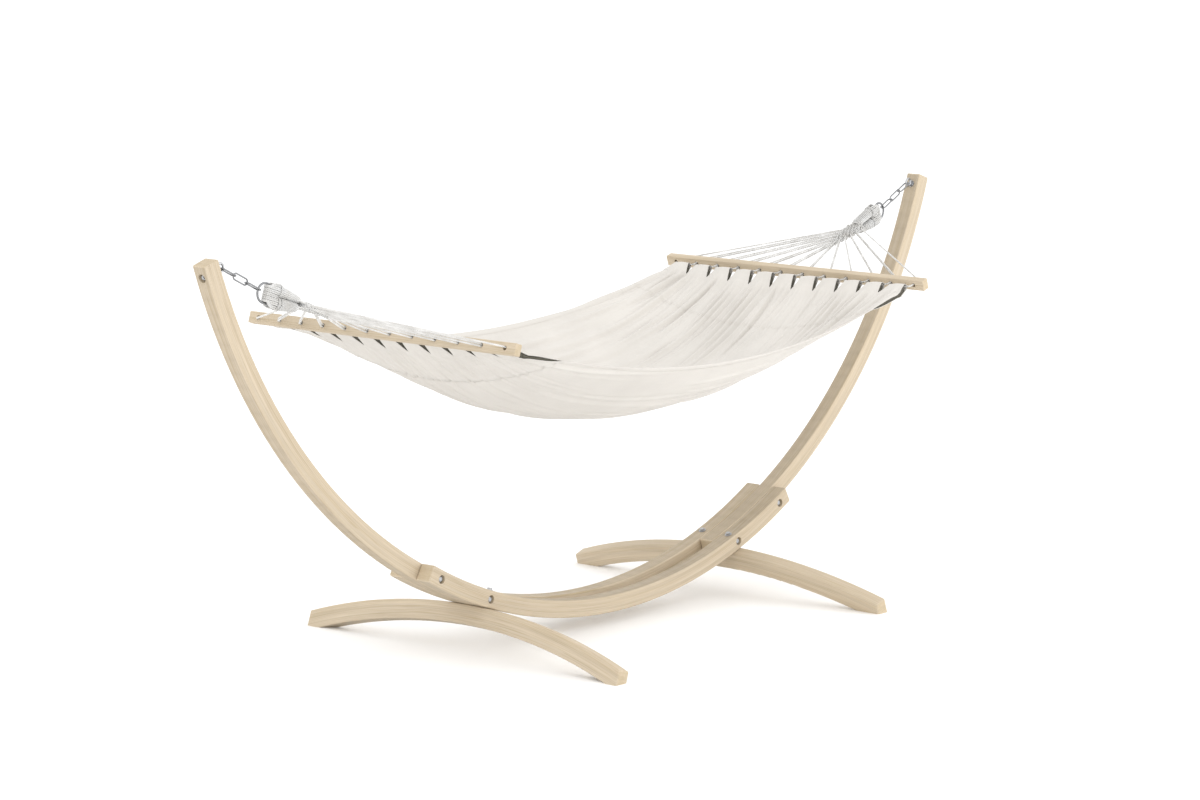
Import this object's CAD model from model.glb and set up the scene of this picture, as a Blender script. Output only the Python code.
import math
from functools import partial

import bmesh
import bpy
import numpy as np
from mathutils import Matrix, Vector


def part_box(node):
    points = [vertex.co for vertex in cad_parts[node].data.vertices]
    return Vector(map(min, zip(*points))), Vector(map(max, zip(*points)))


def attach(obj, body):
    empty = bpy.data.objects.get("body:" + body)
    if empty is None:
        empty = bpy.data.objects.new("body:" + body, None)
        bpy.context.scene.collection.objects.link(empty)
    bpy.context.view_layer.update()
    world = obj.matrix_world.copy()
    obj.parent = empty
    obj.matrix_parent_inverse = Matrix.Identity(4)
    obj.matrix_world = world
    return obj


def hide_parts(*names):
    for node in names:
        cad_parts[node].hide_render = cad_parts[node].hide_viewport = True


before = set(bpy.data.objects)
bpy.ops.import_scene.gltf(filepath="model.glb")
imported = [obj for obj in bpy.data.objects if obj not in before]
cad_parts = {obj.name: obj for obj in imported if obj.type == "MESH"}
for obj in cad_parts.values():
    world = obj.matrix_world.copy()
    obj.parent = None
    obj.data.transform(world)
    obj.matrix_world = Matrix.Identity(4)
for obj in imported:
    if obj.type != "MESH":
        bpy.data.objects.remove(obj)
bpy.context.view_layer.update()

bl_info = {
    "name": "Hammock on an arched stand",
    "version": (1, 0, 0),
    "blender": (4, 5, 0),
    "location": "3D View > Sidebar > Hammock",
    "description": "Dresses the frame of a hammock and its stand: timber, steel, cords, clews and cloth",
    "category": "Object",
}

# --- Stand: the circle that arms and rails follow, and the arch of the feet, in metres ---
CURVE_RADIUS = 1.698
CURVE_CENTRE_HEIGHT = 1.759
BEAM_DEPTH = 0.0516
BEAM_PITCH = 0.0512
FOOT_LEAN = math.radians(19.35)
FOOT_DEPTH = 0.058
FOOT_RADIUS = 1.78
# Deeper than a bar, so that the solid bars show no glue line.
BAR_LAYER = 0.1

# --- Spreader bars, their holes and the cord ---
BAR_TILT = math.radians(18)
BAR_THICKNESS = 0.026
HOLE_COUNT = 12
HOLE_PITCH = 0.085
CORD_RADIUS = 0.00275
CORD_LAYER = 0.0031
MOUTH_STANDOFF = 0.006
TAB_STANDOFF = 0.015

# --- Ring and clew: distances run from the ring's centre towards the bar ---
RING_RADIUS = 0.027
RING_WIRE = 0.0032
FAN_OUTER_START = 0.142
FAN_INNER_START = 0.270
FAN_SPREAD = 0.066

# --- Cloth ---
CLOTH_EDGE_HEIGHT = 0.827
CLOTH_SAG = 0.205
SAG_SQUARE_SHARE = 0.605
CLOTH_MIDDLE_HALF_WIDTH = 0.488
CLOTH_END_HALF_WIDTH = 0.459
TAB_WIDTH = 0.051
NOTCH_DEPTH = 0.046
TAB_COUNT = HOLE_COUNT - 1

STAND_TIMBER = ["arm_left", "arm_right", "base_rail_front", "base_rail_back"]
FEET = ["foot_left", "foot_right"]
BARS = ["spreader_bar_left", "spreader_bar_right"]
SIDES = {"right": 1, "left": -1}


def middle(node):
    """Centre of a frame node's box."""
    low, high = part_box(node)
    return (low + high) / 2


RING_CENTRE = middle("ring_right")
BAR_CENTRE = middle("spreader_bar_right")
BAR_NORMAL = Vector((math.cos(BAR_TILT), 0, math.sin(BAR_TILT)))
BAR_UPRIGHT = Vector((-math.sin(BAR_TILT), 0, math.cos(BAR_TILT)))
CLEW_ALONG = (BAR_CENTRE - RING_CENTRE).normalized()
ACROSS = Vector((0, 1, 0))
CLEW_UPRIGHT = ACROSS.cross(CLEW_ALONG)


def bar_point(out, across, up):
    """A point by its distances out of the right-hand bar, across the hammock and up the bar."""
    return BAR_CENTRE + BAR_NORMAL * out + ACROSS * across + BAR_UPRIGHT * up


def clew_point(distance, across, up):
    """A point by its distance along the right-hand clew, across it and above its axis."""
    return RING_CENTRE + CLEW_ALONG * distance + ACROSS * across + CLEW_UPRIGHT * up


TAB_END = bar_point(-BAR_THICKNESS / 2 - TAB_STANDOFF, 0, 0)


def hole_across(index):
    """How far across the hammock one cord hole lies."""
    return (index - (HOLE_COUNT - 1) / 2) * HOLE_PITCH


# === Materials ===


def to_linear(hex_colour):
    """Linear colour, with full alpha, of an sRGB hex value."""
    channels = [int(hex_colour[k:k + 2], 16) / 255 for k in (1, 3, 5)]
    return [c / 12.92 if c <= 0.04045 else ((c + 0.055) / 1.055) ** 2.4 for c in channels] + [1.0]


def add_node(tree, kind, inputs=None, **settings):
    """A shader node with its settings. Each input takes a value, a socket or a node's first output."""
    made = tree.nodes.new("ShaderNode" + kind)
    for name, value in settings.items():
        setattr(made, name, value)
    for name, value in (inputs or {}).items():
        if isinstance(value, bpy.types.Node):
            value = value.outputs[0]
        if isinstance(value, bpy.types.NodeSocket):
            tree.links.new(value, made.inputs[name])
        else:
            made.inputs[name].default_value = value
    return made


def new_material(name):
    """A new material with an empty node tree, and the function that adds nodes to that tree."""
    material = bpy.data.materials.new(name)
    material.use_nodes = True
    material.node_tree.nodes.clear()
    return material, partial(add_node, material.node_tree)


def two_tone_surface(add, share, colours, relief, settings):
    """Mix two colours by a share, raise a relief of some height, strength and distance, and light it."""
    first, second = colours
    tone = add("Mix", {"Factor": share, "A": to_linear(first), "B": to_linear(second)}, data_type="RGBA")
    height, strength, distance = relief
    bump = add("Bump", {"Height": height, "Strength": strength, "Distance": distance})
    shader = add("BsdfPrincipled", {"Base Color": tone.outputs["Result"], "Normal": bump, **settings})
    add("OutputMaterial", {"Surface": shader})


def arc_fibres(add):
    """Along, through and across the bent beams of the stand, and which beam it is."""
    place = add("TexCoord")
    split = add("SeparateXYZ", {0: place.outputs["Object"]})
    drop = add("Math", {0: CURVE_CENTRE_HEIGHT, 1: split.outputs["Z"]}, operation="SUBTRACT")
    turn = add("Math", {0: split.outputs["X"], 1: drop}, operation="ARCTAN2")
    along = add("Math", {0: turn, 1: CURVE_RADIUS}, operation="MULTIPLY")
    flat = add("CombineXYZ", {"X": split.outputs["X"], "Z": drop})
    reach = add("VectorMath", {0: flat}, operation="LENGTH")
    through = add(
        "Math", {0: reach.outputs["Value"], 1: CURVE_RADIUS - BEAM_DEPTH / 2}, operation="SUBTRACT")
    beam = add("Math", {0: split.outputs["Y"], 1: BEAM_PITCH}, operation="DIVIDE")
    beam = add("Math", {0: beam}, operation="ROUND")
    way = add("CombineXYZ", {"X": drop, "Z": split.outputs["X"]})
    way = add("VectorMath", {0: way}, operation="NORMALIZE")
    facing = add("VectorMath", {0: place.outputs["Normal"], 1: way}, operation="DOT_PRODUCT")
    return along, through, split.outputs["Y"], beam, facing.outputs["Value"]


def mirrored_place(add):
    """Object coordinates with the left half folded onto the right."""
    place = add("TexCoord")
    split = add("SeparateXYZ", {0: place.outputs["Object"]})
    folded = add("Math", {0: split.outputs["X"]}, operation="ABSOLUTE")
    point = add("CombineXYZ", {"X": folded, "Y": split.outputs["Y"], "Z": split.outputs["Z"]})
    side = add("Math", {0: split.outputs["X"]}, operation="SIGN")
    normal = add("SeparateXYZ", {0: place.outputs["Normal"]})
    return point, split.outputs["Y"], side, normal.outputs["Y"]


def foot_fibres(add):
    """Along, through and across an arched foot that leans with the rails."""
    point, across_stand, side, facing = mirrored_place(add)
    lean = Vector((math.sin(FOOT_LEAN), 0, -math.cos(FOOT_LEAN)))
    centre = Vector((0, 0, CURVE_CENTRE_HEIGHT)) + lean * (CURVE_RADIUS + BEAM_DEPTH / 2 + FOOT_DEPTH / 2)
    pivot = centre + lean * FOOT_RADIUS
    offset = add("VectorMath", {0: point, 1: pivot}, operation="SUBTRACT")
    rise = add("VectorMath", {0: offset, 1: -lean}, operation="DOT_PRODUCT")
    turn = add("Math", {0: across_stand, 1: rise.outputs["Value"]}, operation="ARCTAN2")
    along = add("Math", {0: turn, 1: FOOT_RADIUS}, operation="MULTIPLY")
    flat = add("CombineXYZ", {"X": across_stand, "Y": rise.outputs["Value"]})
    reach = add("VectorMath", {0: flat}, operation="LENGTH")
    through = add(
        "Math", {0: reach.outputs["Value"], 1: FOOT_RADIUS - FOOT_DEPTH / 2}, operation="SUBTRACT")
    broad = Vector((math.cos(FOOT_LEAN), 0, math.sin(FOOT_LEAN)))
    across = add("VectorMath", {0: offset, 1: broad}, operation="DOT_PRODUCT")
    return along, through, across.outputs["Value"], side, facing


def bar_fibres(add):
    """Along, through and across a straight spreader bar."""
    point, along, side, facing = mirrored_place(add)
    offset = add("VectorMath", {0: point, 1: BAR_CENTRE}, operation="SUBTRACT")
    through = add("VectorMath", {0: offset, 1: BAR_UPRIGHT}, operation="DOT_PRODUCT")
    across = add("VectorMath", {0: offset, 1: BAR_NORMAL}, operation="DOT_PRODUCT")
    return along, through.outputs["Value"], across.outputs["Value"], side, facing


def spruce(name, fibres, layer, early, late):
    """Planed and oiled spruce. Pale early wood with thin darker late wood gives soft streaks that
    follow the bend, glued layers show as faint lines, and the oil leaves a dull, even gloss."""
    material, add = new_material(name)
    along, through, across, piece, facing = fibres(add)
    apart = add("Math", {0: piece, 1: 3.7, 2: along}, operation="MULTIPLY_ADD")
    layers = add("Math", {0: through, 1: layer}, operation="DIVIDE")
    number = add("Math", {0: layers}, operation="FLOOR")
    key = add("CombineXYZ", {"X": number, "Y": piece})
    chance = add("TexWhiteNoise", {"Vector": key}, noise_dimensions="3D")
    shift = add("Math", {0: chance.outputs["Value"], 1: 5.0, 2: apart}, operation="MULTIPLY_ADD")
    grain = add("CombineXYZ", {"X": shift, "Y": across, "Z": through})
    # Streaks about 14 mm wide and half a metre long, then fibres 2.5 mm wide.
    streak_place = add("VectorMath", {0: grain, 1: (2.0, 70.0, 70.0)}, operation="MULTIPLY")
    streaks = add("TexNoise", {"Vector": streak_place, "Scale": 1.0, "Detail": 4.0, "Roughness": 0.55})
    fibre_place = add("VectorMath", {0: grain, 1: (9.0, 400.0, 400.0)}, operation="MULTIPLY")
    fibre = add("TexNoise", {"Vector": fibre_place, "Scale": 1.0, "Detail": 3.0, "Roughness": 0.6})
    # Year rings 3 mm apart round a pith that lies beside each layer and wanders along it.
    pith = add("VectorMath", {0: chance.outputs["Color"], 1: (0.0, 0.11, 0.05)}, operation="MULTIPLY")
    pith = add("VectorMath", {0: pith, 1: (0.0, 0.02, 0.03)}, operation="ADD")
    ring_place = add("VectorMath", {0: grain, 1: (0.0, 1.0, 1.0)}, operation="MULTIPLY")
    ring_place = add("VectorMath", {0: ring_place, 1: pith}, operation="ADD")
    ring_reach = add("VectorMath", {0: ring_place}, operation="LENGTH")
    ring_turns = add("Math", {0: ring_reach.outputs["Value"], 1: 2 * math.pi / 0.003}, operation="MULTIPLY")
    wander = add("Math", {0: streaks, 1: 26.0, 2: ring_turns}, operation="MULTIPLY_ADD")
    rings = add("Math", {0: wander}, operation="SINE")
    ring_share = add("MapRange", {"Value": rings, "From Min": 0.1, "From Max": 1.0, "To Max": 0.55})
    body = add("MapRange", {"Value": streaks, "From Min": 0.3, "From Max": 0.72, "To Max": 0.6})
    share = add("Math", {0: ring_share, 1: body}, operation="ADD")
    threads = add("Math", {0: fibre, 1: 0.5, 2: share}, operation="MULTIPLY_ADD")
    threads = add("Math", {0: threads, 1: 0.25}, operation="SUBTRACT", use_clamp=True)
    wood = add("Mix", {"Factor": threads, "A": to_linear(early), "B": to_linear(late)}, data_type="RGBA")
    # Each glued layer comes from another board, so its tone is a little its own.
    tone = add("MapRange", {"Value": chance.outputs["Value"], "To Min": 0.93, "To Max": 1.05})
    blotch = add("TexNoise", {"Vector": grain, "Scale": 5.0, "Detail": 2.0})
    blotch_tone = add(
        "MapRange", {"Value": blotch, "From Min": 0.3, "From Max": 0.7, "To Min": 0.95, "To Max": 1.04})
    tones = add("Math", {0: tone, 1: blotch_tone}, operation="MULTIPLY")
    # A glue line at every second layer, fading over 0.6 mm to each side so that it still shows.
    fraction = add("Math", {0: layers, 1: 1.0}, operation="PINGPONG")
    glue = add("MapRange", {"Value": fraction, "From Max": 0.0006 / layer, "To Min": 0.8, "To Max": 1.0})
    tones = add("Math", {0: tones, 1: glue}, operation="MULTIPLY")
    toned = add("VectorMath", {0: wood.outputs["Result"], "Scale": tones}, operation="SCALE")
    # Small knots, dark over about 8 mm by 14 mm, at the few cells that chance picks.
    knot_place = add("VectorMath", {0: grain, 1: (4.2, 8.0, 8.0)}, operation="MULTIPLY")
    knots = add("TexVoronoi", {"Vector": knot_place, "Scale": 1.0})
    picked = add("Math", {0: knots.outputs["Color"], 1: 0.72}, operation="GREATER_THAN")
    knot = add(
        "MapRange", {"Value": knots.outputs["Distance"], "From Min": 0.03, "From Max": 0.075,
        "To Min": 0.75, "To Max": 0.0})
    knot = add("Math", {0: knot, 1: picked}, operation="MULTIPLY")
    knotted = add("Mix", {"Factor": knot, "A": toned, "B": to_linear("#A08664")}, data_type="RGBA")
    # Sawn ends drink the oil and go darker.
    end = add("Math", {0: facing}, operation="ABSOLUTE")
    end = add("MapRange", {"Value": end, "From Min": 0.8, "From Max": 0.97, "To Max": 0.35})
    ended = add(
        "Mix", {"Factor": end, "A": knotted.outputs["Result"], "B": to_linear("#BBA988")}, data_type="RGBA")
    gloss = add("MapRange", {"Value": fibre, "To Min": 0.52, "To Max": 0.72})
    relief = add("Math", {0: threads, 1: 0.5, 2: fibre}, operation="MULTIPLY_ADD")
    bump = add("Bump", {"Height": relief, "Strength": 0.35, "Distance": 0.0004})
    shader = add("BsdfPrincipled", {
        "Base Color": ended.outputs["Result"], "Roughness": gloss, "Normal": bump,
        "IOR": 1.45, "Specular IOR Level": 0.35})
    add("OutputMaterial", {"Surface": shader})
    return material


def plated_steel(name, bright, worn):
    """Steel, cold formed and zinc plated. The thin crystalline plating gives a cool grey metal with
    soft, slightly patchy reflections; on the hand-worn chain it is duller and darker."""
    material, add = new_material(name)
    place = add("TexCoord")
    patch = add("TexNoise", {"Vector": place.outputs["Object"], "Scale": 180.0, "Detail": 3.0})
    grain = add("TexNoise", {"Vector": place.outputs["Object"], "Scale": 900.0, "Detail": 2.0})
    dull = add(
        "MapRange", {"Value": patch, "From Min": 0.3, "From Max": 0.7, "To Min": 0.26, "To Max": 0.42})
    two_tone_surface(add, patch, (bright, worn), (grain, 0.15, 0.0001), {"Metallic": 1.0, "Roughness": dull})
    return material


def cotton_cord(name, colour):
    """Cotton cord, three yarns laid together. Its soft fibres scatter light, so it is matt, with
    fine fuzz that breaks up the highlight: almost white in the loops, greyer where it is waxed."""
    material, add = new_material(name)
    place = add("TexCoord")
    fuzz = add("TexNoise", {"Vector": place.outputs["Object"], "Scale": 1400.0, "Detail": 3.0})
    soil = add("TexNoise", {"Vector": place.outputs["Object"], "Scale": 30.0, "Detail": 2.0})
    tone = add("MapRange", {"Value": soil, "From Min": 0.3, "From Max": 0.7})
    two_tone_surface(add, tone, (colour, "#C6C4C0"), (fuzz, 0.5, 0.0003), {
        "Roughness": 0.9, "Sheen Weight": 0.15, "Sheen Roughness": 0.5, "Specular IOR Level": 0.2})
    return material


def cotton_canvas(colour, thread_pitch):
    """Unbleached cotton canvas, plain woven and washed. Threads cross over and under, thicker
    slubs run here and there along them, and the surface is matt with a soft nap."""
    material, add = new_material("cotton_canvas")
    place = add("TexCoord")
    split = add("SeparateXYZ", {0: place.outputs["UV"]})
    # The real threads are 0.9 mm apart; they are drawn twice as coarse so that they show.
    turns = math.pi / thread_pitch
    weft = add("Math", {0: split.outputs["X"], 1: turns}, operation="MULTIPLY")
    weft = add("Math", {0: weft}, operation="SINE")
    warp = add("Math", {0: split.outputs["Y"], 1: turns}, operation="MULTIPLY")
    warp = add("Math", {0: warp}, operation="SINE")
    weave = add("Math", {0: weft, 1: warp}, operation="MULTIPLY")
    slub_place = add("VectorMath", {0: place.outputs["UV"], 1: (600.0, 14.0, 1.0)}, operation="MULTIPLY")
    slub = add("TexNoise", {"Vector": slub_place, "Scale": 1.0, "Detail": 2.0})
    cross_place = add("VectorMath", {0: place.outputs["UV"], 1: (14.0, 600.0, 1.0)}, operation="MULTIPLY")
    cross = add("TexNoise", {"Vector": cross_place, "Scale": 1.0, "Detail": 2.0})
    slubs = add("Math", {0: slub, 1: cross}, operation="ADD")
    wash = add("TexNoise", {"Vector": place.outputs["UV"], "Scale": 4.0, "Detail": 3.0})
    tone = add("Math", {0: slubs, 1: 0.35, 2: wash}, operation="MULTIPLY_ADD")
    tone = add("MapRange", {"Value": tone, "From Min": 0.55, "From Max": 1.15})
    relief = add("Math", {0: slubs, 1: 0.8, 2: weave}, operation="MULTIPLY_ADD")
    two_tone_surface(add, tone, (colour, "#CBC7C1"), (relief, 0.4, 0.0003), {
        "Roughness": 0.95, "Sheen Weight": 0.1, "Sheen Roughness": 0.5, "Specular IOR Level": 0.15})
    return material


def wool_felt(colour):
    """Grey needled felt, used as stiffening between two layers of cloth. Tangled fibres give it a
    dull, mottled surface with no gloss."""
    material, add = new_material("wool_felt")
    place = add("TexCoord")
    tangle = add("TexNoise", {"Vector": place.outputs["Object"], "Scale": 700.0, "Detail": 4.0})
    two_tone_surface(add, tangle, (colour, "#6B685F"), (tangle, 0.5, 0.0005), {
        "Roughness": 1.0, "Specular IOR Level": 0.1})
    return material


def studio_paper():
    """Matt white background paper under the object."""
    material, add = new_material("studio_paper")
    place = add("TexCoord")
    fleck = add("TexNoise", {"Vector": place.outputs["Object"], "Scale": 3.0, "Detail": 2.0})
    paper = add("Mix", {
        "Factor": fleck, "A": to_linear("#FFFFFF"), "B": to_linear("#FBFBFB")}, data_type="RGBA")
    shader = add("BsdfPrincipled", {
        "Base Color": paper.outputs["Result"], "Roughness": 1.0, "Specular IOR Level": 0.0})
    add("OutputMaterial", {"Surface": shader})
    return material


# === Meshes ===


def finish_cad(nodes, material):
    """Give frame nodes a material in place of their plain one."""
    for name in nodes:
        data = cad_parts[name].data
        data.materials.clear()
        data.materials.append(material)


def show(name, mesh, material):
    """Link a finished mesh that rides with the hammock."""
    mesh.materials.append(material)
    mesh.polygons.foreach_set("use_smooth", [True] * len(mesh.polygons))
    piece = bpy.data.objects.new(name, mesh)
    bpy.context.scene.collection.objects.link(piece)
    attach(piece, "hammock")
    return piece


def spline_points(controls):
    """Points along a smooth spline that has these control points."""
    curve = bpy.data.curves.new("route", "CURVE")
    curve.dimensions = "3D"
    curve.resolution_u = 16
    spline = curve.splines.new("NURBS")
    spline.points.add(len(controls) - 1)
    for point, control in zip(spline.points, controls):
        point.co = (*control, 1)
    spline.order_u = 3
    spline.use_endpoint_u = True
    holder = bpy.data.objects.new("route", curve)
    mesh = bpy.data.meshes.new_from_object(holder)
    points = np.array([vertex.co for vertex in mesh.vertices])
    bpy.data.objects.remove(holder)
    bpy.data.curves.remove(curve)
    bpy.data.meshes.remove(mesh)
    return points


def path_lengths(points):
    """Length of the path up to each of its points."""
    return np.concatenate([[0], np.cumsum(np.linalg.norm(np.diff(points, axis=0), axis=1))])


def along_path(places, lengths, values):
    """Values of a path's points, such as their coordinates, at these lengths along it."""
    return np.stack([np.interp(places, lengths, values[:, axis]) for axis in range(3)], 1)


def even_steps(points, step):
    """The same path with points a steady step apart."""
    lengths = path_lengths(points)
    keep = np.concatenate([[True], np.diff(lengths) > 1e-9])
    lengths, points = lengths[keep], points[keep]
    places = np.linspace(0, lengths[-1], max(2, round(lengths[-1] / step)) + 1)
    return along_path(places, lengths, points)


def side_faces(ring_count, count):
    """Faces from each ring of points to the next, all the way round."""
    faces = []
    for start in range(0, (ring_count - 1) * count, count):
        for k in range(count):
            following = (k + 1) % count
            faces.append((start + k, start + following, start + count + following, start + count + k))
    return faces


def closed_tube(rings):
    """Points and faces of a tube through rings of points, closed at both ends."""
    ring_count, count = rings.shape[:2]
    first = tuple(range(count))[::-1]
    last = tuple(range((ring_count - 1) * count, ring_count * count))
    return rings.reshape(-1, 3), [first, *side_faces(ring_count, count), last]


def laid_outline(radius):
    """Outline of three yarns laid side by side, four points to each yarn."""
    angles = np.arange(12) * math.tau / 12
    from_yarn = (angles + math.pi / 3) % (math.tau / 3) - math.pi / 3
    yarn = radius / 2
    reach = yarn * np.cos(from_yarn) + np.sqrt(yarn ** 2 - (yarn * np.sin(from_yarn)) ** 2)
    return np.stack([reach * np.cos(angles), reach * np.sin(angles)], 1)


def laid_cord(path, radius, step=0.0022):
    """Points and faces of a three-yarn cord along a path, closed at both ends."""
    path = even_steps(np.asarray(path, float), step)
    tangents = np.gradient(path, axis=0)
    tangents /= np.linalg.norm(tangents, axis=1)[:, None]
    side = np.empty_like(path)
    guess = np.array((0.31, 0.52, 0.79))
    for number, tangent in enumerate(tangents):
        guess = guess - tangent * guess.dot(tangent)
        guess /= np.linalg.norm(guess)
        side[number] = guess
    other = np.cross(tangents, side)
    lay_length = 6.4 * radius
    turn = np.arange(len(path)) * step * math.tau / lay_length
    outline = laid_outline(radius)
    first = outline[:, 0] * np.cos(turn)[:, None] - outline[:, 1] * np.sin(turn)[:, None]
    second = outline[:, 0] * np.sin(turn)[:, None] + outline[:, 1] * np.cos(turn)[:, None]
    rings = path[:, None] + side[:, None] * first[..., None] + other[:, None] * second[..., None]
    return closed_tube(rings)


def gather(parts, sign):
    """One list of points and faces from several parts, on the right (1) or the left (-1)."""
    points, faces, start = [], [], 0
    for part_points, part_faces in parts:
        points.append(part_points * (sign, 1, 1))
        faces += [tuple(start + k for k in (face if sign > 0 else face[::-1])) for face in part_faces]
        start += len(part_points)
    return np.concatenate(points), faces


def mesh_of(name, points, faces):
    """A mesh with these points and faces."""
    mesh = bpy.data.meshes.new(name)
    mesh.from_pydata(np.asarray(points).tolist(), [], faces)
    mesh.update()
    return mesh


def outward_faces(mesh, weld=0.0):
    """Weld points that coincide and turn every face outwards."""
    work = bmesh.new()
    work.from_mesh(mesh)
    if weld:
        bmesh.ops.remove_doubles(work, verts=work.verts, dist=weld)
    bmesh.ops.recalc_face_normals(work, faces=work.faces)
    work.to_mesh(mesh)
    work.free()


def show_parts(name, parts, sign, material, turn_out=False):
    """Show one mesh made of several parts, on the right (1) or the left (-1)."""
    mesh = mesh_of(name, *gather(parts, sign))
    if turn_out:
        outward_faces(mesh)
    return show(name, mesh, material)


# === Rigging cords ===

# A strand inside its lobe: distance along the clew, share of its place across, and height.
STRAND_TAIL = ((0.110, 0.4, 0.0105), (0.126, 0.7, 0.0085))
# An outer strand leaves the wedge so early that it has only one bend there.
OUTER_BEND = (0.135, 0.92, 1.4)
EARLY_LEAVE = FAN_OUTER_START + 0.02
LEAVE_BEND = 0.012
STRAIGHT_LEAD = 0.016
HOLE_BEND = 0.007
HOLE_EXIT = -0.010
TAB_BEND = 0.018


def strand_leave(index):
    """How far along the clew the strand for one hole leaves the weave."""
    share = abs(hole_across(index)) / abs(hole_across(0))
    return FAN_INNER_START + (FAN_OUTER_START - FAN_INNER_START) * share


def strand_controls(index, layer):
    """From inside a lobe, through the weave and out to the mouth of one hole of the bar."""
    across = hole_across(index) * FAN_SPREAD
    leave = strand_leave(index)
    side = math.copysign(1, layer)
    start = clew_point(leave, across, layer)
    mouth = bar_point(BAR_THICKNESS / 2 + MOUTH_STANDOFF, hole_across(index), layer)
    way = (mouth - start).normalized()
    controls = [
        clew_point(distance, across * share, side * height) for distance, share, height in STRAND_TAIL]
    if leave > EARLY_LEAVE:
        bends = (FAN_OUTER_START, leave - LEAVE_BEND)
        controls += [clew_point(distance, across, layer) for distance in bends]
    else:
        distance, share, spread = OUTER_BEND
        controls += [clew_point(distance, across * share, layer * spread)]
    controls += [start, start + way * STRAIGHT_LEAD, mouth - way * STRAIGHT_LEAD, mouth]
    controls += [bar_point(HOLE_BEND, hole_across(index), layer)]
    return controls


def loop_controls(index):
    """One loop of cord: clew, hole, tab, next hole and back to the clew."""
    inside = -BAR_THICKNESS / 2 - TAB_STANDOFF
    first, second = hole_across(index), hole_across(index + 1)
    drop = CORD_LAYER * TAB_BEND / (HOLE_PITCH / 2)
    turn = [
        bar_point(HOLE_EXIT, first, CORD_LAYER),
        bar_point(inside, first, CORD_LAYER),
        bar_point(inside, first + TAB_BEND, CORD_LAYER - drop),
        bar_point(inside, second - TAB_BEND, -CORD_LAYER + drop),
        bar_point(inside, second, -CORD_LAYER),
        bar_point(HOLE_EXIT, second, -CORD_LAYER),
    ]
    return strand_controls(index, CORD_LAYER) + turn + strand_controls(index + 1, -CORD_LAYER)[::-1]


# === Clew ===

# Distance along the clew, half width, half height and height above the axis of the upper lobe.
LOBE_SECTIONS = ((0.014, 0.0120, 0.0158, 0.0176), (0.046, 0.0160, 0.0164, 0.0177),
                 (0.084, 0.0185, 0.0140, 0.0147), (0.128, 0.0200, 0.0100, 0.0106))
LOBE_POINTS = 24
# The cords of a lobe run between these distances and draw in from TUCK_START on.
LOBE_START = 0.046
LOBE_END = 0.129
TUCK_START = 0.114
TUCK_RUN = 0.016
TUCK_SHARE = 0.55
# Cords wound round a lobe: points in a turn, and how far out they lie in radii of their own.
WINDING_POINTS = 28
WINDING_OUT = 0.7
LASHING_START = 0.045
LASHING_END = 0.052
LASHING_RADIUS = 0.0017
WHIPPING_START = 0.056
WHIPPING_END = 0.118
WINDING_STEP = 0.0016
# Seven bands of two strands wrap the ring, spread over its height.
WRAPS_END = 0.045
WRAP_BANDS = range(-3, 4)
BAND_PITCH = 0.0102
STRAND_FROM_BAND = 0.0024
FINE_STEP = 0.0018
# Rows of the woven wedge.
WEAVE_FIRST_ROW = 0.134
WEAVE_LAST_ROW = 0.255
WEAVE_ROW_PITCH = 0.0059
WEAVE_TURN_ALONG = 0.003
WEAVE_TURN_OUT = 0.0025


def lobe_section(distance):
    """Half width, half height and height above the axis, smoothly between the lobe's sections."""
    known = np.array(LOBE_SECTIONS)
    return [float(np.polyval(np.polyfit(known[:, 0], known[:, k], 3), distance)) for k in (1, 2, 3)]


def lobe_strand(angle, up_sign):
    """Path of one cord of the bundle along the outside of a lobe."""
    path = []
    for distance in np.linspace(LOBE_START, LOBE_END, LOBE_POINTS):
        half_width, half_height, up = lobe_section(distance)
        tuck = 1 - TUCK_SHARE * max(0.0, (distance - TUCK_START) / TUCK_RUN) ** 2
        across = (half_width - CORD_RADIUS) * math.cos(angle) * tuck
        height = up + (half_height - CORD_RADIUS) * math.sin(angle) * tuck
        path.append(clew_point(distance, across, up_sign * height))
    return path


def lobe_winding(first, last, radius, up_sign):
    """Path of a whipping cord wound round a lobe from one distance to another."""
    turns = (last - first) / (2 * radius)
    path = []
    for number in range(round(turns * WINDING_POINTS) + 1):
        distance = first + (last - first) * number / (turns * WINDING_POINTS)
        half_width, half_height, up = lobe_section(distance)
        angle = math.tau * number / WINDING_POINTS
        across = (half_width + radius * WINDING_OUT) * math.cos(angle)
        height = up + (half_height + radius * WINDING_OUT) * math.sin(angle)
        path.append(clew_point(distance, across, up_sign * height))
    return path


def ring_wrap(height):
    """A strand that comes out of a lobe, turns round the ring's wire and goes back."""
    half_width, half_height, up = lobe_section(WRAPS_END)
    rise = np.clip((abs(height) - up) / half_height, -0.86, 0.86)
    width = half_width * math.sqrt(1 - rise ** 2) - CORD_RADIUS * 0.6
    inside_wire = RING_RADIUS - RING_WIRE - CORD_RADIUS - 0.0001
    turn_height = float(np.clip(height, -inside_wire, inside_wire))
    hidden = math.copysign(up + (abs(height) - up) * 0.6, height)
    bend = 0.0088 * 1.06
    hub = 0.008
    # Distance along the clew, place across and height, from inside the lobe to the ring.
    leg = [(WRAPS_END + 0.014, width * 0.55, hidden), (WRAPS_END + 0.001, width * 0.92, height * 0.97),
           (0.030, max(width, 0.0095), height), (0.018, 0.0098, turn_height + (height - turn_height) * 0.85)]
    path = [clew_point(distance, -across, up) for distance, across, up in leg]
    for step in range(-3, 4):
        turn = math.radians(30) * step
        path.append(clew_point(hub - bend * math.cos(turn), bend * math.sin(turn), turn_height))
    path += [clew_point(distance, across, up) for distance, across, up in leg[::-1]]
    return spline_points(path)


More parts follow.
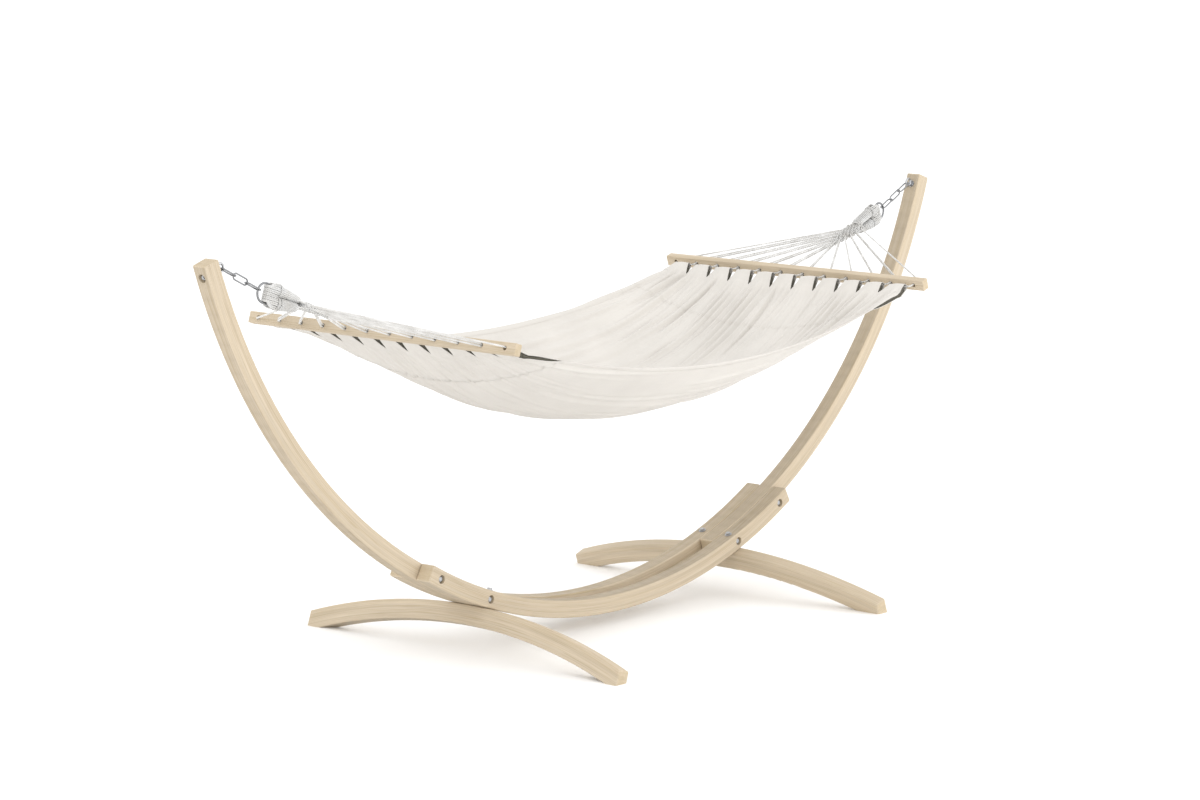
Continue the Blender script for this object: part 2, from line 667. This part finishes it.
def weave_path():
    """The cord that weaves over and under the strands, row by row, while they leave."""
    columns = [hole_across(index) * FAN_SPREAD for index in range(HOLE_COUNT)]
    pitch = columns[1] - columns[0]
    rise = CORD_LAYER + 2 * CORD_RADIUS
    path, row, distance = [], 0, WEAVE_FIRST_ROW
    while distance < WEAVE_LAST_ROW:
        held = [columns[k] for k in range(HOLE_COUNT) if strand_leave(k) > distance + WEAVE_TURN_ALONG]
        edge = max(held) + 0.75 * pitch
        way = 1 if row % 2 else -1
        for across in np.linspace(-edge, edge, 6 * len(held) + 8) * way:
            swing = math.cos(math.pi * (across - columns[0]) / pitch) * (1 if row % 4 < 2 else -1)
            # The cord goes over or under a strand quickly and comes level at the edge of the wedge.
            level_out = min(1.0, (edge - abs(across)) / (0.7 * pitch))
            lift = rise * math.tanh(1.9 * swing) / math.tanh(1.9) * level_out
            path.append(clew_point(distance, across, lift))
        path.append(clew_point(distance + WEAVE_TURN_ALONG, way * (edge + WEAVE_TURN_OUT), 0))
        distance += WEAVE_ROW_PITCH
        row += 1
    return path


# === Cloth bed ===

COLUMNS_PER_TAB = 23
SEAM_FROM_END = 0.200
TUNNEL_RADIUS = 0.0118
TUNNEL_DEPTH = 0.064
TUNNEL_INSET = 0.0078
LAYER_GAP = 0.0009
CLOTH_THICKNESS = 0.0011
HEM_WIDTH = 0.018
HEM_FROM_END = 0.052
HEM_ROWS = 150
# Felt inside the turned-under ends: gap to the cloth, half widths in tabs, and where it lies.
FELT_GAP = 0.0013
FELT_HALF_WIDTH = 0.494
FELT_EDGE_HALF_WIDTH = 0.47
FELT_DEPTHS = np.linspace(0.012, 0.045, 8)
FELT_EDGE_DEPTHS = np.linspace(0.0455, SEAM_FROM_END - 0.022, 14)
# Stitches.
STITCH_LENGTH = 0.0034
STITCH_RADIUS = 0.00045
STITCH_PITCH = 0.0046
SEAM_LIFT = LAYER_GAP + 0.0006
HEM_LIFT = 0.0016
# How deep the folds run out of each end: the right end is drawn up harder than the left.
END_FOLD_SHARE = {1: 1.45, -1: 0.6}
LONG_FOLDS = 44


def smooth_step(value, low, high):
    """A share that rises smoothly from 0 at the low value to 1 at the high one."""
    share = np.clip((value - low) / (high - low), 0, 1)
    return share * share * (3 - 2 * share)


def make_folds(depth, seed):
    """Soft folds as rows: start, run, place across, drift, width and height. Those of the tabs come
    first, then the long ones of the middle."""
    chance = np.random.default_rng(seed)
    folds = []
    for side in (-1, 1):
        for tab in range(TAB_COUNT):
            for pleat in (-1.5, -0.5, 0.5, 1.5):
                place = (tab - TAB_COUNT // 2 + pleat * 0.23) * HOLE_PITCH * 1.02 + chance.normal(0, 0.003)
                run = chance.uniform(0.16, 0.85)
                height = depth * END_FOLD_SHARE[side] * chance.uniform(0.35, 1.0) * chance.choice((-1, 1, 1))
                folds.append((side * (TAB_END.x - 0.012), -side * run, place, chance.normal(0, 0.035),
                              chance.uniform(0.0050, 0.0085), height))
    for _ in range(LONG_FOLDS):
        start = chance.uniform(-0.85, 0.25)
        place = chance.uniform(-0.46, 0.46)
        height = depth * chance.uniform(0.4, 1.0) * chance.choice((-1, 1))
        folds.append((start, chance.uniform(0.45, 1.1), place, chance.normal(0, 0.03),
                      chance.uniform(0.007, 0.014), height * 0.8))
    return folds


def fold_height(folds, x, across):
    """Height of all the folds together at points of the cloth."""
    height = np.zeros_like(x)
    for start, run, place, drift, width, rise in folds:
        share = (x - start) / run
        centre = place + drift * (x - start) + 0.005 * np.sin(7 * (x - start) + place * 40)
        off = (across - centre) / width
        shape = np.exp(-off ** 2) - 0.55 * np.exp(-(off - 1.7) ** 2)
        fade = smooth_step(share, 0, 0.16) * (1 - smooth_step(share, 0.35, 1.0))
        height += rise * shape * fade
    from_end = TAB_END.x - np.abs(x)
    return height * smooth_step(from_end, 0.010, 0.06)


def cloth_points(folds, x, column, tab, offset):
    """Points of the cloth, offset along its normal. Columns count tabs across, 0 in the middle."""
    share = np.abs(x) / TAB_END.x
    side = np.sign(x)
    from_end = TAB_END.x - np.abs(x)
    across_share = column / (TAB_COUNT / 2)
    half_width = CLOTH_MIDDLE_HALF_WIDTH - (CLOTH_MIDDLE_HALF_WIDTH - CLOTH_END_HALF_WIDTH) * share ** 2
    local = column - (tab - TAB_COUNT // 2)
    y_tab = (tab - TAB_COUNT // 2) * HOLE_PITCH + local * TAB_WIDTH
    pull = np.clip(1 - from_end / NOTCH_DEPTH, 0, 1) ** 0.85
    y = across_share * half_width * (1 - pull) + y_tab * pull
    quartic = 1 - SAG_SQUARE_SHARE
    belly = 1 - SAG_SQUARE_SHARE * share ** 2 - quartic * share ** 4
    steep = -2 * SAG_SQUARE_SHARE * share - 4 * quartic * share ** 3
    rise = TAB_END.z - CLOTH_EDGE_HEIGHT
    z = CLOTH_EDGE_HEIGHT + rise * share ** 2 - CLOTH_SAG * belly * (1 - across_share ** 2)
    z = z - 2 * CORD_LAYER * local * TAB_WIDTH / HOLE_PITCH * pull
    slope = (2 * rise * share - CLOTH_SAG * steep * (1 - across_share ** 2)) / TAB_END.x
    cross_slope = 2 * CLOTH_SAG * belly * across_share / half_width
    normal = np.stack([-slope * side, -cross_slope, np.ones_like(x)], -1)
    normal /= np.linalg.norm(normal, axis=-1)[..., None]
    # Between two tabs the cloth dips a little, because only the tabs pull it up.
    dip = 0.004 * np.cos(math.tau * local) * np.exp(-((from_end - 0.05) / 0.035) ** 2) * (from_end > 0)
    lift = offset + dip + fold_height(folds, x, across_share * CLOTH_MIDDLE_HALF_WIDTH)
    return np.stack([x, y, z], -1) + normal * lift[..., None], normal, slope


def layer_offset(from_end):
    """Half the distance between the cloth and its turned-under end."""
    return LAYER_GAP + (TUNNEL_RADIUS - LAYER_GAP) * np.clip(1 - from_end / TUNNEL_DEPTH, 0, 1) ** 0.8


def side_gape(from_end):
    """How far open the two layers stand at the cloth's long edges, from 0 to 1."""
    return np.sin(math.pi * np.clip((from_end - 0.006) / (SEAM_FROM_END - 0.012), 0, 1)) ** 0.8


def end_offsets(from_end, edge_share):
    """Offsets of the upper and the turned-under layer near an end of the cloth."""
    gape = edge_share * side_gape(from_end)
    return layer_offset(from_end) + 0.001 * gape, -layer_offset(from_end) - 0.0085 * gape


def sheet_rows():
    """The rows of the sheet from one turned-under end to the other: x, layer and turn."""
    seam_x = TAB_END.x - SEAM_FROM_END
    # A row lies at the foot of the notches, and the others stand closer together inside the tabs.
    under = [*np.linspace(SEAM_FROM_END, 0.052, 11), *np.linspace(NOTCH_DEPTH, TUNNEL_INSET, 9)]
    over = [*np.linspace(TUNNEL_INSET, NOTCH_DEPTH, 10), *np.linspace(0.054, SEAM_FROM_END - 0.008, 16)]
    end = [(TAB_END.x - e, -1, 0) for e in under]
    end += [(TAB_END.x - TUNNEL_INSET, 0, math.pi - math.pi * k / 7) for k in range(1, 7)]
    end += [(TAB_END.x - e, 1, 0) for e in over]
    body = [(x, 0.5, 0) for x in np.linspace(-seam_x, seam_x, 84)]
    return [(-x, layer, turn) for x, layer, turn in end] + body + end[::-1]


def edge_shares(columns):
    """How much each column belongs to the cloth's long edges, from 0 to 1."""
    return smooth_step(np.abs(columns) / (TAB_COUNT / 2), 0.86, 1.0)


def make_sheet_mesh(folds):
    """The cloth as one sheet: down one end's underside, round the cords, along the bed and back."""
    rows = sheet_rows()
    tabs = np.repeat(np.arange(TAB_COUNT), COLUMNS_PER_TAB + 1)
    local = np.tile(np.linspace(-0.5, 0.5, COLUMNS_PER_TAB + 1), TAB_COUNT)
    columns = tabs - TAB_COUNT // 2 + local
    edge = edge_shares(columns)
    grid = []
    for row_x, layer, turn in rows:
        x = np.full(len(columns), row_x)
        from_end = TAB_END.x - np.abs(x)
        upper, lower = end_offsets(from_end, edge)
        if layer < 0:
            offset = lower
        elif layer == 1:
            offset = upper
        else:
            offset = np.zeros(len(columns))
        points, normal, slope = cloth_points(folds, x, columns, tabs, offset)
        if turn:
            side = np.sign(row_x)
            length = np.sqrt(1 + slope ** 2)
            outward = np.stack([side / length, np.zeros_like(x), slope / length], -1)
            round_cord = normal * math.cos(turn) + outward * math.sin(turn)
            points = points + layer_offset(from_end)[:, None] * round_cord
        grid.append(points)
    grid = np.array(grid)
    lengths = path_lengths(grid[:, len(columns) // 2])
    flat_across = columns * 2 * CLOTH_MIDDLE_HALF_WIDTH / TAB_COUNT
    flat = np.stack(np.broadcast_arrays(flat_across, lengths[:, None]), -1)
    width = len(columns)
    faces = []
    for row in range(len(rows) - 1):
        for k in range(width - 1):
            if tabs[k] == tabs[k + 1]:
                start = row * width + k
                faces.append((start, start + 1, start + width + 1, start + width))
    mesh = mesh_of("hammock_cloth", grid.reshape(-1, 3), faces)
    layer = mesh.uv_layers.new(name="flat")
    corner = np.empty(len(mesh.loops), int)
    mesh.loops.foreach_get("vertex_index", corner)
    layer.data.foreach_set("uv", flat.reshape(-1, 2)[corner].ravel())
    outward_faces(mesh, 1e-5)
    return mesh, float(lengths[-1])


def lining_slab(folds, side, tab, columns, depths):
    """A closed slab of felt between the two layers, over these columns and depths of one tab."""
    edge = edge_shares(columns)
    tabs = np.full(len(columns), tab)
    rings = []
    for from_end in depths:
        x = np.full(len(columns), side * (TAB_END.x - from_end))
        upper, lower = end_offsets(np.full(len(columns), from_end), edge)
        top = cloth_points(folds, x, columns, tabs, np.maximum(upper - FELT_GAP, 0.0))[0]
        bottom = cloth_points(folds, x, columns, tabs, np.minimum(lower + FELT_GAP, -0.0002))[0]
        rings.append(np.concatenate([top, bottom[::-1]]))
    count = 2 * len(columns)
    faces = side_faces(len(depths), count)
    last = (len(depths) - 1) * count
    for k in range(len(columns) - 1):
        mate = count - 1 - k
        faces.append((k, mate, mate - 1, k + 1))
        faces.append((last + k, last + k + 1, last + mate - 1, last + mate))
    return np.concatenate(rings), faces


def lining_parts(folds, side):
    """The stiffening felt of one end: a slab in each tab and a strip along each long edge."""
    across = np.linspace(-0.5, 0.5, COLUMNS_PER_TAB + 1)
    across = np.concatenate([[-FELT_HALF_WIDTH], across[1:-1], [FELT_HALF_WIDTH]])
    last = TAB_COUNT - 1
    slabs = []
    for tab in range(TAB_COUNT):
        low = -FELT_EDGE_HALF_WIDTH if tab == 0 else -1
        high = FELT_EDGE_HALF_WIDTH if tab == last else 1
        slabs.append((tab, low, high, FELT_DEPTHS))
    slabs.append((0, -FELT_EDGE_HALF_WIDTH, 0.1, FELT_EDGE_DEPTHS))
    slabs.append((last, -0.1, FELT_EDGE_HALF_WIDTH, FELT_EDGE_DEPTHS))
    parts = []
    for tab, low, high, depths in slabs:
        places = across[(across > low) & (across < high)]
        parts.append(lining_slab(folds, side, tab, tab - TAB_COUNT // 2 + places, depths))
    return parts


def hem_band(folds, side):
    """The double-turned hem along one long side, a flat band with a rounded outer edge."""
    edge_column = side * TAB_COUNT / 2
    in_column = side * (TAB_COUNT / 2) * (1 - HEM_WIDTH / CLOTH_MIDDLE_HALF_WIDTH)
    x = np.linspace(-TAB_END.x + HEM_FROM_END, TAB_END.x - HEM_FROM_END, HEM_ROWS)
    tabs = np.full(len(x), TAB_COUNT - 1 if side > 0 else 0)
    from_end = TAB_END.x - np.abs(x)
    lift = np.where(from_end < SEAM_FROM_END - 0.004, end_offsets(from_end, 1)[0], 0)
    outer, normal = cloth_points(folds, x, np.full(len(x), edge_column), tabs, lift)[:2]
    inner = cloth_points(folds, x, np.full(len(x), in_column), tabs, lift)[0]
    # Place across the band from its inner to its outer edge, and height, of the closed outline.
    outline = [(0.0, 0.0), (0.03, 0.0007), (0.5, 0.0008), (0.97, 0.0008), (1.03, 0.0), (0.97, -0.0008),
               (0.5, -0.0008), (0.03, -0.0007)]
    lines = [inner + (outer - inner) * share + normal * height for share, height in outline]
    return closed_tube(np.stack(lines, 1))


def stitch_shape(length, radius):
    """A single stitch: a small stretched ball with few faces."""
    work = bmesh.new()
    bmesh.ops.create_icosphere(work, subdivisions=1, radius=1)
    bmesh.ops.scale(work, verts=work.verts, vec=(length / 2, radius, radius))
    points = np.array([vertex.co for vertex in work.verts])
    faces = [[vertex.index for vertex in face.verts] for face in work.faces]
    work.free()
    return points, faces


def stitch_row(points, normals, lift, shape):
    """Stitches along a line on the cloth, each lying along the line."""
    lengths = path_lengths(points)
    places = np.arange(STITCH_PITCH / 2, lengths[-1], STITCH_PITCH)
    centres = along_path(places, lengths, points)
    ahead = along_path(places + 1e-4, lengths, points) - centres
    ups = along_path(places, lengths, normals)
    length = np.linalg.norm(ahead, axis=1)
    keep = length > 1e-7
    centres, ahead, ups = centres[keep], ahead[keep] / length[keep][:, None], ups[keep]
    across = np.cross(ups, ahead)
    across /= np.linalg.norm(across, axis=1)[:, None]
    ups = np.cross(ahead, across)
    base, base_faces = shape
    parts = []
    for centre, along, side, up in zip(centres + ups * lift, ahead, across, ups):
        parts.append((centre + base @ np.array((along, side, up)), base_faces))
    return parts


def stitch_parts(folds):
    """All the sewing: cross seams and hems, on both faces of the cloth."""
    shape = stitch_shape(STITCH_LENGTH, STITCH_RADIUS)
    parts = []
    wide = np.linspace(-TAB_COUNT / 2, TAB_COUNT / 2, 400)
    wide_tabs = np.clip(np.floor(wide + TAB_COUNT / 2), 0, TAB_COUNT - 1)
    for side in (-1, 1):
        lines = []
        for from_end in (SEAM_FROM_END - 0.010, SEAM_FROM_END - 0.004):
            lines.append((np.full(len(wide), side * (TAB_END.x - from_end)), wide, wide_tabs, SEAM_LIFT))
        x = np.linspace(-TAB_END.x + 0.055, TAB_END.x - 0.055, 300)
        column = np.full(len(x), side * (TAB_COUNT / 2) * (1 - 0.8 * HEM_WIDTH / CLOTH_MIDDLE_HALF_WIDTH))
        lines.append((x, column, np.full(len(x), TAB_COUNT - 1 if side > 0 else 0), HEM_LIFT))
        for x, columns, tabs, lift in lines:
            points, normals = cloth_points(folds, x, columns, tabs, np.zeros(len(x)))[:2]
            parts += stitch_row(points, normals, lift, shape)
            parts += stitch_row(points, normals, -lift, shape)
    return parts


# === Stage ===

FLOOR_HALF_WIDTH = 60
WORLD_STRENGTH = 1.3
# Name, place and power of each square light; all are aimed at the middle of the hammock.
LIGHTS = (("key", (2.4, -5.4, 2.3), 95), ("fill", (-6.5, -1.0, 2.0), 42))
LIGHT_WIDTH = 4.0
LIGHT_AIM = Vector((0, 0, 0.7))
CAMERA_PLACE = (-8.3202, -6.9962, 2.3652)
CAMERA_YAW = math.radians(40.07)
CAMERA_PITCH = math.radians(-8.9)
CAMERA_ROLL = math.radians(0.161)
CAMERA_LENS = 111.22
CAMERA_SENSOR = 36


def stand_at(name, data, place, turn):
    """Link a light or a camera at a place, turned by a 3 by 3 matrix."""
    holder = bpy.data.objects.new(name, data)
    holder.matrix_world = Matrix.Translation(place) @ turn.to_4x4()
    bpy.context.scene.collection.objects.link(holder)
    return holder


def camera_turn():
    """The camera's turn as a matrix, from its yaw, pitch and roll."""
    flat = math.cos(CAMERA_PITCH)
    forward = Vector((flat * math.cos(CAMERA_YAW), flat * math.sin(CAMERA_YAW), math.sin(CAMERA_PITCH)))
    level = Vector((math.sin(CAMERA_YAW), -math.cos(CAMERA_YAW), 0))
    right = level * math.cos(CAMERA_ROLL) + level.cross(forward) * math.sin(CAMERA_ROLL)
    return Matrix((right, right.cross(forward), -forward)).transposed()


# === Settings ===


def colour_setting(name, thing, default):
    """A setting for the sRGB hex colour of a thing."""
    return bpy.props.StringProperty(name=name, description="sRGB hex colour of " + thing, default=default)


def length_setting(name, description, default, least):
    """A setting for a length in metres."""
    return bpy.props.FloatProperty(
        name=name, description=description, default=default, min=least, subtype="DISTANCE", unit="LENGTH")


class HammockColours(bpy.types.PropertyGroup):
    timber_early: colour_setting("Early wood", "the pale early wood", "#CBBDA8")
    timber_late: colour_setting("Late wood", "the darker late wood", "#B6A589")
    steel: colour_setting("Zinc plating", "the plated steel", "#C2C3C5")
    chain: colour_setting("Chain plating", "the plated chain and rings", "#97989A")
    cord: colour_setting("Cord", "the cotton cord", "#E2E1DF")
    whipping: colour_setting("Waxed cord", "the waxed cord of the clews", "#D3D3D2")
    cloth: colour_setting("Cloth", "the cotton canvas", "#D8D4CE")
    felt: colour_setting("Felt", "the felt inside the cloth's ends", "#45433C")


class HammockSizes(bpy.types.PropertyGroup):
    beam_layer: length_setting(
        "Timber layer", "Thickness of one glued layer of the bent timber", BEAM_DEPTH / 6, 0.003)
    thread_pitch: length_setting(
        "Thread pitch", "Distance between two threads of the cloth, as drawn", 0.0018, 0.0005)
    fold_depth: length_setting("Fold depth", "Greatest height of a fold in the cloth", 0.0070, 0.0)
    fold_seed: bpy.props.IntProperty(
        name="Fold seed", description="Which set of folds the cloth has", default=7)
    bundle_cords: bpy.props.IntProperty(
        name="Cords in a lobe", description="Cords that show round each lobe of a clew", default=17, min=8)
    whipping_radius: length_setting(
        "Whipping radius", "Radius of the cord that is wound round a lobe", 0.0016, 0.0005)


# === Operators ===


class HAMMOCK_OT_timber(bpy.types.Operator):
    """Finish the arms, rails, feet and spreader bars in oiled spruce"""

    bl_idname = "hammock.timber"
    bl_label = "Timber"

    def execute(self, context):
        colours, sizes = context.scene.hammock_colours, context.scene.hammock_sizes
        early, late = colours.timber_early, colours.timber_late
        finish_cad(STAND_TIMBER, spruce("laminated_spruce", arc_fibres, sizes.beam_layer, early, late))
        finish_cad(FEET, spruce("laminated_spruce_feet", foot_fibres, sizes.beam_layer, early, late))
        finish_cad(BARS, spruce("spruce_bars", bar_fibres, BAR_LAYER, early, late))
        return {"FINISHED"}


class HAMMOCK_OT_steel(bpy.types.Operator):
    """Finish the bolts, eyes, chains and rings in zinc-plated steel"""

    bl_idname = "hammock.steel"
    bl_label = "Steel"

    def execute(self, context):
        colours = context.scene.hammock_colours
        bolts = [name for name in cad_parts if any(word in name for word in ("bolt", "washer", "nut"))]
        chains = [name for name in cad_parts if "link" in name or name in ("ring_left", "ring_right")]
        finish_cad(bolts, plated_steel("zinc_plated_steel", colours.steel, "#98999B"))
        finish_cad(chains, plated_steel("zinc_plated_chain", colours.chain, "#77787A"))
        return {"FINISHED"}


class HAMMOCK_OT_rigging(bpy.types.Operator):
    """Run the loops of laid cord from the clews through the bars to the tabs"""

    bl_idname = "hammock.rigging"
    bl_label = "Rigging cords"

    def execute(self, context):
        cord = cotton_cord("cotton_cord", context.scene.hammock_colours.cord)
        loops = [laid_cord(spline_points(loop_controls(index)), CORD_RADIUS) for index in range(TAB_COUNT)]
        for side, sign in SIDES.items():
            piece = show_parts("rigging_" + side, loops, sign, cord)
            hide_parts("rigging_cords_" + side)
        return {"FINISHED"}


class HAMMOCK_OT_clews(bpy.types.Operator):
    """Wrap the rings, whip the two lobes and weave the wedge of each clew"""

    bl_idname = "hammock.clews"
    bl_label = "Clews"

    def execute(self, context):
        sizes = context.scene.hammock_sizes
        cord = cotton_cord("waxed_cotton_cord", context.scene.hammock_colours.whipping)
        lobes = []
        for up_sign in (-1, 1):
            for number in range(sizes.bundle_cords):
                angle = math.tau * (number + 0.5) / sizes.bundle_cords
                lobes.append(laid_cord(lobe_strand(angle, up_sign), CORD_RADIUS))
            lashing = lobe_winding(LASHING_START, LASHING_END, LASHING_RADIUS, up_sign)
            lobes.append(laid_cord(lashing, LASHING_RADIUS, WINDING_STEP))
        whipping = lobe_winding(WHIPPING_START, WHIPPING_END, sizes.whipping_radius, -1)
        lobes.append(laid_cord(whipping, sizes.whipping_radius, WINDING_STEP))
        wraps = []
        for band in WRAP_BANDS:
            for half in (-1, 1):
                path = ring_wrap(band * BAND_PITCH + half * STRAND_FROM_BAND)
                wraps.append(laid_cord(path, CORD_RADIUS, FINE_STEP))
        weave = [laid_cord(weave_path(), CORD_RADIUS, FINE_STEP)]
        for side, sign in SIDES.items():
            piece = show_parts("whipped_lobes_" + side, lobes, sign, cord)
            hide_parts("clew_lobes_" + side)
            show_parts("ring_wraps_" + side, wraps, sign, cord)
            piece = show_parts("woven_wedge_" + side, weave, sign, cord)
            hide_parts("clew_weave_" + side)
        return {"FINISHED"}


class HAMMOCK_OT_cloth(bpy.types.Operator):
    """Sew the cloth bed with its tabs, hems, seams and stitches"""

    bl_idname = "hammock.cloth"
    bl_label = "Cloth bed"

    def execute(self, context):
        colours, sizes = context.scene.hammock_colours, context.scene.hammock_sizes
        canvas = cotton_canvas(colours.cloth, sizes.thread_pitch)
        folds = make_folds(sizes.fold_depth, sizes.fold_seed)
        mesh, length = make_sheet_mesh(folds)
        cloth = show("hammock_cloth", mesh, canvas)
        wall = cloth.modifiers.new("thickness", "SOLIDIFY")
        wall.thickness = CLOTH_THICKNESS
        wall.offset = 0
        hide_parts("hammock_bed")
        felt = wool_felt(colours.felt)
        for side, sign in SIDES.items():
            parts = lining_parts(folds, sign)
            show_parts("end_lining_" + side, parts, 1, felt, turn_out=True)
        for side, name in ((-1, "side_hem_front"), (1, "side_hem_back")):
            parts = [hem_band(folds, side)]
            show_parts(name, parts, 1, canvas, turn_out=True)
        show_parts("stitches", stitch_parts(folds), 1, canvas)
        return {"FINISHED"}


class HAMMOCK_OT_stage(bpy.types.Operator):
    """Set the floor, the light and the camera"""

    bl_idname = "hammock.stage"
    bl_label = "Stage"

    def execute(self, context):
        scene = context.scene
        work = bmesh.new()
        bmesh.ops.create_grid(work, x_segments=4, y_segments=4, size=FLOOR_HALF_WIDTH)
        mesh = bpy.data.meshes.new("floor")
        work.to_mesh(mesh)
        work.free()
        mesh.materials.append(studio_paper())
        floor = bpy.data.objects.new("floor", mesh)
        scene.collection.objects.link(floor)
        scene.view_settings.view_transform = "Standard"
        world = bpy.data.worlds.new("studio")
        world.use_nodes = True
        background = world.node_tree.nodes["Background"]
        background.inputs["Color"].default_value = (1, 1, 1, 1)
        background.inputs["Strength"].default_value = WORLD_STRENGTH
        scene.world = world
        for name, place, power in LIGHTS:
            lamp = bpy.data.lights.new(name, "AREA")
            lamp.energy = power
            lamp.shape = "SQUARE"
            lamp.size = LIGHT_WIDTH
            aim = LIGHT_AIM - Vector(place)
            stand_at(name, lamp, place, aim.to_track_quat("-Z", "Y").to_matrix())
        data = bpy.data.cameras.new("camera")
        data.lens = CAMERA_LENS
        data.sensor_width = CAMERA_SENSOR
        scene.camera = stand_at("camera", data, CAMERA_PLACE, camera_turn())
        return {"FINISHED"}


class HAMMOCK_PT_panel(bpy.types.Panel):
    """Sizes, colours and building steps of the hammock"""

    bl_idname = "HAMMOCK_PT_panel"
    bl_label = "Hammock"
    bl_space_type = "VIEW_3D"
    bl_region_type = "UI"
    bl_category = "Hammock"

    def draw(self, context):
        for settings in (context.scene.hammock_colours, context.scene.hammock_sizes):
            for name in type(settings).__annotations__:
                self.layout.prop(settings, name)
        for operator in OPERATORS:
            self.layout.operator(operator.bl_idname)


OPERATORS = (
    HAMMOCK_OT_timber, HAMMOCK_OT_steel, HAMMOCK_OT_rigging, HAMMOCK_OT_clews, HAMMOCK_OT_cloth,
    HAMMOCK_OT_stage)
CLASSES = (HammockColours, HammockSizes, *OPERATORS, HAMMOCK_PT_panel)


def register():
    for item in CLASSES:
        bpy.utils.register_class(item)
    bpy.types.Scene.hammock_colours = bpy.props.PointerProperty(type=HammockColours)
    bpy.types.Scene.hammock_sizes = bpy.props.PointerProperty(type=HammockSizes)


def unregister():
    del bpy.types.Scene.hammock_sizes
    del bpy.types.Scene.hammock_colours
    for item in reversed(CLASSES):
        bpy.utils.unregister_class(item)


def main():
    register()
    bpy.ops.hammock.timber()
    bpy.ops.hammock.steel()
    bpy.ops.hammock.rigging()
    bpy.ops.hammock.clews()
    bpy.ops.hammock.cloth()
    bpy.ops.hammock.stage()


if __name__ == "__main__":
    main()
